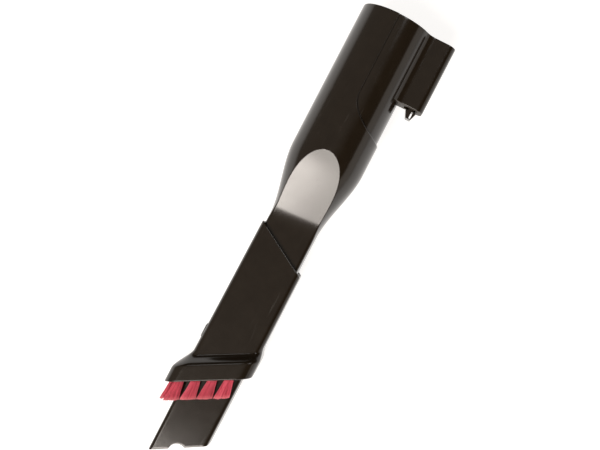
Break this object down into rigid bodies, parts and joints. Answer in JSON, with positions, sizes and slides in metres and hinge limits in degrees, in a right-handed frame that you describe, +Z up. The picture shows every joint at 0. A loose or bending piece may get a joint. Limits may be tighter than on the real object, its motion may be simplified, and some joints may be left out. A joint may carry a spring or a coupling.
{
  "type": "vacuum crevice and dusting tool",
  "caption": "Flat crevice nozzle with a slanted tip, a sliding dusting brush sleeve and a round quick-release connector with a latch box.",
  "frame": {"origin": "middle of the footprint on the surface the tool lies on, on its back", "axes": "+Y towards the connector's mouth, +X towards the latch box, +Z up out of the front face; the tool's own axis dips by 1.6 degrees towards its tip"},
  "size_m": [0.0534, 0.2488, 0.0414],
  "materials": {
    "black_plastic": "glossy moulded ABS, warm black, fine scuffs",
    "satin_plastic": "satin moulded plastic, black",
    "steel": "drawn wire",
    "bristle": "crimped nylon filament, red-pink"
  },
  "bodies": {
    "tool": {"nozzle_body": "black_plastic", "connector_collar": "black_plastic", "latch_cover": "black_plastic", "latch_pin": "steel"},
    "sleeve": {"brush_sleeve": "black_plastic", "bristle_frame": "satin_plastic", "slide_button_spring": "steel", "tuft_front_1": "bristle", "tuft_front_2": "bristle", "tuft_front_3": "bristle", "tuft_front_4": "bristle", "tuft_rear_1": "bristle", "tuft_rear_2": "bristle", "tuft_rear_3": "bristle", "tuft_rear_4": "bristle", "tuft_side_1": "bristle", "tuft_side_2": "bristle", "staple_front_1": "steel", "staple_front_2": "steel", "staple_front_3": "steel", "staple_front_4": "steel", "staple_rear_1": "steel", "staple_rear_2": "steel", "staple_rear_3": "steel", "staple_rear_4": "steel", "staple_side_1": "steel", "staple_side_2": "steel"},
    "latch": {"latch_lever": "black_plastic", "latch_spring": "steel"},
    "button": {"slide_button": "satin_plastic"}
  },
  "joints": [
    {"name": "brush_slide", "type": "slide", "parent": "tool", "child": "sleeve", "axis": [0, -0.9996, -0.0286], "range_m": [0, 0.033]},
    {"name": "latch_press", "type": "hinge", "parent": "tool", "child": "latch", "pos_m": [0.02082, 0.10189, 0.02116], "axis": [0, 0.0286, -0.9996], "range_deg": [0, 8], "stiffness_Nm_per_rad": 0.25, "springref_deg": -5.73, "deforming": ["latch_spring"]},
    {"name": "slide_button_press", "type": "slide", "parent": "sleeve", "child": "button", "axis": [1, 0, 0], "range_m": [0, 0.0007], "stiffness_N_per_m": 800, "springref_m": -0.0008, "deforming": ["slide_button_spring"]}
  ]
}
